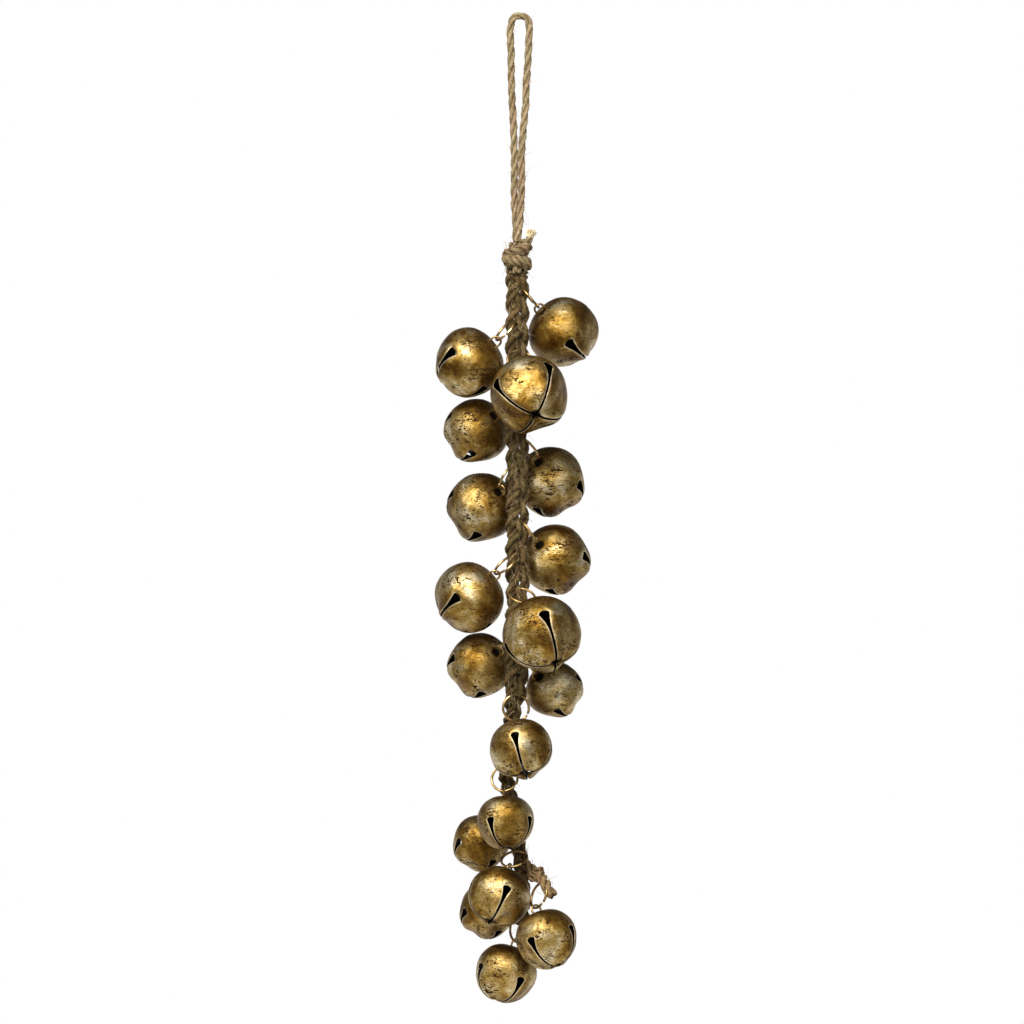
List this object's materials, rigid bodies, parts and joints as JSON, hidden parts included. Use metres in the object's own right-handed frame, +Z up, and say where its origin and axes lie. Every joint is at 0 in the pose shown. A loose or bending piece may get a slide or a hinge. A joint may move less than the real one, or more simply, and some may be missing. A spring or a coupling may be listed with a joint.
{
  "type": "hanging jingle bell cluster",
  "caption": "Hanging strand of antique-gold four-petal jingle bells on wire jump rings, clustered down a braided jute cord with a knotted twine hanging loop.",
  "frame": {"origin": "inner apex of the twine hanging loop, where the hook or nail bears", "axes": "+Z up along the hanging strand, -Y towards the viewer of the picture, +X to the viewer's right"},
  "size_m": [0.0907, 0.0978, 0.5469],
  "materials": {
    "bell_gold": "antique gold, speckled brown, satin",
    "wire_gold": "dull antique gold wire",
    "pellet_steel": "plain dark steel",
    "jute_twine": "three-ply jute twine",
    "jute_braid": "braided brown jute cord"
  },
  "bodies": {
    "rope": {"hanging_loop": "jute_twine", "top_knot": "jute_twine", "braid_upper": "jute_braid", "braid_lower": "jute_braid", "side_tail": "jute_braid"},
    "ring_01": {"bell_01_ring": "wire_gold"},
    "bell_01": {"bell_01_shell": "bell_gold"},
    "pellet_01": {"bell_01_pellet": "pellet_steel"},
    "ring_02": {"bell_02_ring": "wire_gold"},
    "bell_02": {"bell_02_shell": "bell_gold"},
    "pellet_02": {"bell_02_pellet": "pellet_steel"},
    "ring_03": {"bell_03_ring": "wire_gold"},
    "bell_03": {"bell_03_shell": "bell_gold"},
    "pellet_03": {"bell_03_pellet": "pellet_steel"},
    "ring_04": {"bell_04_ring": "wire_gold"},
    "bell_04": {"bell_04_shell": "bell_gold"},
    "pellet_04": {"bell_04_pellet": "pellet_steel"},
    "ring_05": {"bell_05_ring": "wire_gold"},
    "bell_05": {"bell_05_shell": "bell_gold"},
    "pellet_05": {"bell_05_pellet": "pellet_steel"},
    "ring_06": {"bell_06_ring": "wire_gold"},
    "bell_06": {"bell_06_shell": "bell_gold"},
    "pellet_06": {"bell_06_pellet": "pellet_steel"},
    "ring_07": {"bell_07_ring": "wire_gold"},
    "bell_07": {"bell_07_shell": "bell_gold"},
    "pellet_07": {"bell_07_pellet": "pellet_steel"},
    "ring_08": {"bell_08_ring": "wire_gold"},
    "bell_08": {"bell_08_shell": "bell_gold"},
    "pellet_08": {"bell_08_pellet": "pellet_steel"},
    "ring_09": {"bell_09_ring": "wire_gold"},
    "bell_09": {"bell_09_shell": "bell_gold"},
    "pellet_09": {"bell_09_pellet": "pellet_steel"},
    "ring_10": {"bell_10_ring": "wire_gold"},
    "bell_10": {"bell_10_shell": "bell_gold"},
    "pellet_10": {"bell_10_pellet": "pellet_steel"},
    "ring_11": {"bell_11_ring": "wire_gold"},
    "bell_11": {"bell_11_shell": "bell_gold"},
    "pellet_11": {"bell_11_pellet": "pellet_steel"},
    "ring_12": {"bell_12_ring": "wire_gold"},
    "bell_12": {"bell_12_shell": "bell_gold"},
    "pellet_12": {"bell_12_pellet": "pellet_steel"},
    "ring_13": {"bell_13_ring": "wire_gold"},
    "bell_13": {"bell_13_shell": "bell_gold"},
    "pellet_13": {"bell_13_pellet": "pellet_steel"},
    "ring_14": {"bell_14_ring": "wire_gold"},
    "bell_14": {"bell_14_shell": "bell_gold"},
    "pellet_14": {"bell_14_pellet": "pellet_steel"},
    "ring_15": {"bell_15_ring": "wire_gold"},
    "bell_15": {"bell_15_shell": "bell_gold"},
    "pellet_15": {"bell_15_pellet": "pellet_steel"},
    "ring_16": {"bell_16_ring": "wire_gold"},
    "bell_16": {"bell_16_shell": "bell_gold"},
    "pellet_16": {"bell_16_pellet": "pellet_steel"},
    "ring_17": {"bell_17_ring": "wire_gold"},
    "bell_17": {"bell_17_shell": "bell_gold"},
    "pellet_17": {"bell_17_pellet": "pellet_steel"},
    "ring_18": {"bell_18_ring": "wire_gold"},
    "bell_18": {"bell_18_shell": "bell_gold"},
    "pellet_18": {"bell_18_pellet": "pellet_steel"}
  },
  "joints": [
    {"name": "ring_01_turn", "type": "hinge", "parent": "rope", "child": "ring_01", "pos_m": [0.00541, -0.00012, -0.15323], "axis": [0.7674, -0.0134, 0.641], "range_deg": [-31, 31]},
    {"name": "bell_01_swing", "type": "hinge", "parent": "ring_01", "child": "bell_01", "pos_m": [0.01003, -0.0002, -0.15875], "axis": [-0.0174, -0.9998, 0], "range_deg": [0, 46]},
    {"name": "pellet_01_rattle", "type": "slide", "parent": "bell_01", "child": "pellet_01", "axis": [0, 0, 1], "range_m": [0, 0.0235]},
    {"name": "ring_02_turn", "type": "hinge", "parent": "rope", "child": "ring_02", "pos_m": [-0.00803, -0.00247, -0.17122], "axis": [-0.7304, -0.2804, 0.6228], "range_deg": [-31, 19]},
    {"name": "bell_02_swing", "type": "hinge", "parent": "ring_02", "child": "bell_02", "pos_m": [-0.01221, -0.00407, -0.17685], "axis": [-0.3584, 0.9336, 0], "range_deg": [0, 46]},
    {"name": "pellet_02_rattle", "type": "slide", "parent": "bell_02", "child": "pellet_02", "axis": [0, 0, 1], "range_m": [0, 0.024]},
    {"name": "ring_03_turn", "type": "hinge", "parent": "rope", "child": "ring_03", "pos_m": [0.00012, -0.00601, -0.18847], "axis": [0.233, -0.8124, 0.5345], "range_deg": [-22, 31]},
    {"name": "bell_03_swing", "type": "hinge", "parent": "ring_03", "child": "bell_03", "pos_m": [0.00118, -0.00971, -0.19455], "axis": [-0.9613, -0.2756, 0], "range_deg": [0, 46]},
    {"name": "pellet_03_rattle", "type": "slide", "parent": "bell_03", "child": "pellet_03", "axis": [0, 0, 1], "range_m": [0, 0.028]},
    {"name": "ring_04_turn", "type": "hinge", "parent": "rope", "child": "ring_04", "pos_m": [-0.00821, -0.00058, -0.21083], "axis": [-0.8051, -0.0704, 0.5889], "range_deg": [-28, 13]},
    {"name": "bell_04_swing", "type": "hinge", "parent": "ring_04", "child": "bell_04", "pos_m": [-0.01244, -0.00095, -0.21665], "axis": [-0.0872, 0.9962, 0], "range_deg": [0, 13]},
    {"name": "pellet_04_rattle", "type": "slide", "parent": "bell_04", "child": "pellet_04", "axis": [0, 0, 1], "range_m": [0, 0.0225]},
    {"name": "ring_05_turn", "type": "hinge", "parent": "rope", "child": "ring_05", "pos_m": [0.00465, 0.00291, -0.23619], "axis": [0.7081, 0.3302, 0.6241], "range_deg": [-31, 13]},
    {"name": "bell_05_swing", "type": "hinge", "parent": "ring_05", "child": "bell_05", "pos_m": [0.00872, 0.00481, -0.24182], "axis": [0.4226, -0.9063, 0], "range_deg": [0, 46]},
    {"name": "pellet_05_rattle", "type": "slide", "parent": "bell_05", "child": "pellet_05", "axis": [0, 0, 1], "range_m": [0, 0.025]},
    {"name": "ring_06_turn", "type": "hinge", "parent": "rope", "child": "ring_06", "pos_m": [-0.00696, 0.00239, -0.25221], "axis": [-0.8008, 0.3566, 0.4812], "range_deg": [-7, 31]},
    {"name": "bell_06_swing", "type": "hinge", "parent": "ring_06", "child": "bell_06", "pos_m": [-0.01012, 0.00379, -0.25852], "axis": [0.4067, 0.9135, 0], "range_deg": [0, 22]},
    {"name": "pellet_06_rattle", "type": "slide", "parent": "bell_06", "child": "pellet_06", "axis": [0, 0, 1], "range_m": [0, 0.0245]},
    {"name": "ring_07_turn", "type": "hinge", "parent": "rope", "child": "ring_07", "pos_m": [0.00485, 0.00045, -0.28178], "axis": [0.8237, 0.0576, 0.5641], "range_deg": [-16, 13]},
    {"name": "bell_07_swing", "type": "hinge", "parent": "ring_07", "child": "bell_07", "pos_m": [0.0089, 0.00073, -0.28772], "axis": [0.0698, -0.9976, 0], "range_deg": [0, 22]},
    {"name": "pellet_07_rattle", "type": "slide", "parent": "bell_07", "child": "pellet_07", "axis": [0, 0, 1], "range_m": [0, 0.026]},
    {"name": "ring_08_turn", "type": "hinge", "parent": "rope", "child": "ring_08", "pos_m": [-0.00823, -0.00353, -0.30025], "axis": [-0.6216, -0.3305, 0.7102], "range_deg": [-31, 19]},
    {"name": "bell_08_swing", "type": "hinge", "parent": "ring_08", "child": "bell_08", "pos_m": [-0.01275, -0.00593, -0.30532], "axis": [-0.4695, 0.8829, 0], "range_deg": [0, 46]},
    {"name": "pellet_08_rattle", "type": "slide", "parent": "bell_08", "child": "pellet_08", "axis": [0, 0, 1], "range_m": [0, 0.025]},
    {"name": "ring_09_turn", "type": "hinge", "parent": "rope", "child": "ring_09", "pos_m": [0.00106, -0.00808, -0.31699], "axis": [0.1683, -0.518, 0.8387], "range_deg": [-22, 31]},
    {"name": "bell_09_swing", "type": "hinge", "parent": "ring_09", "child": "bell_09", "pos_m": [0.00293, -0.01382, -0.32091], "axis": [-0.9511, -0.309, 0], "range_deg": [0, 46]},
    {"name": "pellet_09_rattle", "type": "slide", "parent": "bell_09", "child": "pellet_09", "axis": [0, 0, 1], "range_m": [0, 0.027]},
    {"name": "ring_10_turn", "type": "hinge", "parent": "rope", "child": "ring_10", "pos_m": [-0.00751, 0.00011, -0.34077], "axis": [-0.8546, 0.0448, 0.5173], "range_deg": [-31, 4]},
    {"name": "bell_10_swing", "type": "hinge", "parent": "ring_10", "child": "bell_10", "pos_m": [-0.01123, 0.00031, -0.34693], "axis": [0.0523, 0.9986, 0], "range_deg": [0, 16]},
    {"name": "pellet_10_rattle", "type": "slide", "parent": "bell_10", "child": "pellet_10", "axis": [0, 0, 1], "range_m": [0, 0.022]},
    {"name": "ring_11_turn", "type": "hinge", "parent": "rope", "child": "ring_11", "pos_m": [0.00486, -0.0006, -0.35416], "axis": [0.8369, -0.0585, 0.5443], "range_deg": [-13, 31]},
    {"name": "bell_11_swing", "type": "hinge", "parent": "ring_11", "child": "bell_11", "pos_m": [0.00877, -0.00087, -0.36021], "axis": [-0.0698, -0.9976, 0], "range_deg": [0, 40]},
    {"name": "pellet_11_rattle", "type": "slide", "parent": "bell_11", "child": "pellet_11", "axis": [0, 0, 1], "range_m": [0, 0.0185]},
    {"name": "ring_12_turn", "type": "hinge", "parent": "rope", "child": "ring_12", "pos_m": [-0.00221, -0.00191, -0.37893], "axis": [0.1903, -0.9792, 0.0698], "range_deg": [-31, 31]},
    {"name": "bell_12_swing", "type": "hinge", "parent": "ring_12", "child": "bell_12", "pos_m": [-0.00212, -0.0024, -0.38611], "axis": [-0.9816, -0.1908, 0], "range_deg": [0, 46]},
    {"name": "pellet_12_rattle", "type": "slide", "parent": "bell_12", "child": "pellet_12", "axis": [0, 0, 1], "range_m": [0, 0.0195]},
    {"name": "ring_13_turn", "type": "hinge", "parent": "rope", "child": "ring_13", "pos_m": [-0.00847, 0.00896, -0.41822], "axis": [-0.1977, -0.9303, 0.309], "range_deg": [-7, 31]},
    {"name": "bell_13_swing", "type": "hinge", "parent": "ring_13", "child": "bell_13", "pos_m": [-0.00894, 0.00679, -0.42507], "axis": [-0.9781, 0.2079, 0], "range_deg": [0, 46]},
    {"name": "pellet_13_rattle", "type": "slide", "parent": "bell_13", "child": "pellet_13", "axis": [0, 0, 1], "range_m": [0, 0.0175]},
    {"name": "ring_14_turn", "type": "hinge", "parent": "rope", "child": "ring_14", "pos_m": [-0.01042, 0.02586, -0.43584], "axis": [-0.7112, 0.4444, 0.5446], "range_deg": [-31, 22]},
    {"name": "bell_14_swing", "type": "hinge", "parent": "ring_14", "child": "bell_14", "pos_m": [-0.01374, 0.02794, -0.44188], "axis": [0.5299, 0.848, 0], "range_deg": [0, 46]},
    {"name": "pellet_14_rattle", "type": "slide", "parent": "bell_14", "child": "pellet_14", "axis": [0, 0, 1], "range_m": [0, 0.0175]},
    {"name": "ring_15_turn", "type": "hinge", "parent": "rope", "child": "ring_15", "pos_m": [-0.00316, 0.01416, -0.46287], "axis": [-0.2122, -0.5252, 0.8241], "range_deg": [-4, 1]},
    {"name": "bell_15_swing", "type": "hinge", "parent": "ring_15", "child": "bell_15", "pos_m": [-0.00538, 0.00866, -0.46695], "axis": [-0.9272, 0.3746, 0], "range_deg": [0, 40]},
    {"name": "pellet_15_rattle", "type": "slide", "parent": "bell_15", "child": "pellet_15", "axis": [0, 0, 1], "range_m": [0, 0.0195]},
    {"name": "ring_16_turn", "type": "hinge", "parent": "rope", "child": "ring_16", "pos_m": [-0.00551, 0.02392, -0.47594], "axis": [-0.6288, 0.2289, 0.7431], "range_deg": [-31, 10]},
    {"name": "bell_16_swing", "type": "hinge", "parent": "ring_16", "child": "bell_16", "pos_m": [-0.01054, 0.02575, -0.48076], "axis": [0.342, 0.9397, 0], "range_deg": [0, 19]},
    {"name": "pellet_16_rattle", "type": "slide", "parent": "bell_16", "child": "pellet_16", "axis": [0, 0, 1], "range_m": [0, 0.0185]},
    {"name": "ring_17_turn", "type": "hinge", "parent": "rope", "child": "ring_17", "pos_m": [0.01033, -0.00235, -0.48196], "axis": [-0.8188, -0.4728, 0.3256], "range_deg": [-13, 31]},
    {"name": "bell_17_swing", "type": "hinge", "parent": "ring_17", "child": "bell_17", "pos_m": [0.0083, -0.00352, -0.48876], "axis": [-0.5, 0.866, 0], "range_deg": [0, 22]},
    {"name": "pellet_17_rattle", "type": "slide", "parent": "bell_17", "child": "pellet_17", "axis": [0, 0, 1], "range_m": [0, 0.0205]},
    {"name": "ring_18_turn", "type": "hinge", "parent": "rope", "child": "ring_18", "pos_m": [-0.00098, 0.02101, -0.50195], "axis": [-0.7927, -0.5973, 0.1219], "range_deg": [-16, 16]},
    {"name": "bell_18_swing", "type": "hinge", "parent": "ring_18", "child": "bell_18", "pos_m": [-0.00168, 0.02048, -0.5091], "axis": [-0.6018, 0.7986, 0], "range_deg": [0, 40]},
    {"name": "pellet_18_rattle", "type": "slide", "parent": "bell_18", "child": "pellet_18", "axis": [0, 0, 1], "range_m": [0, 0.0195]}
  ]
}
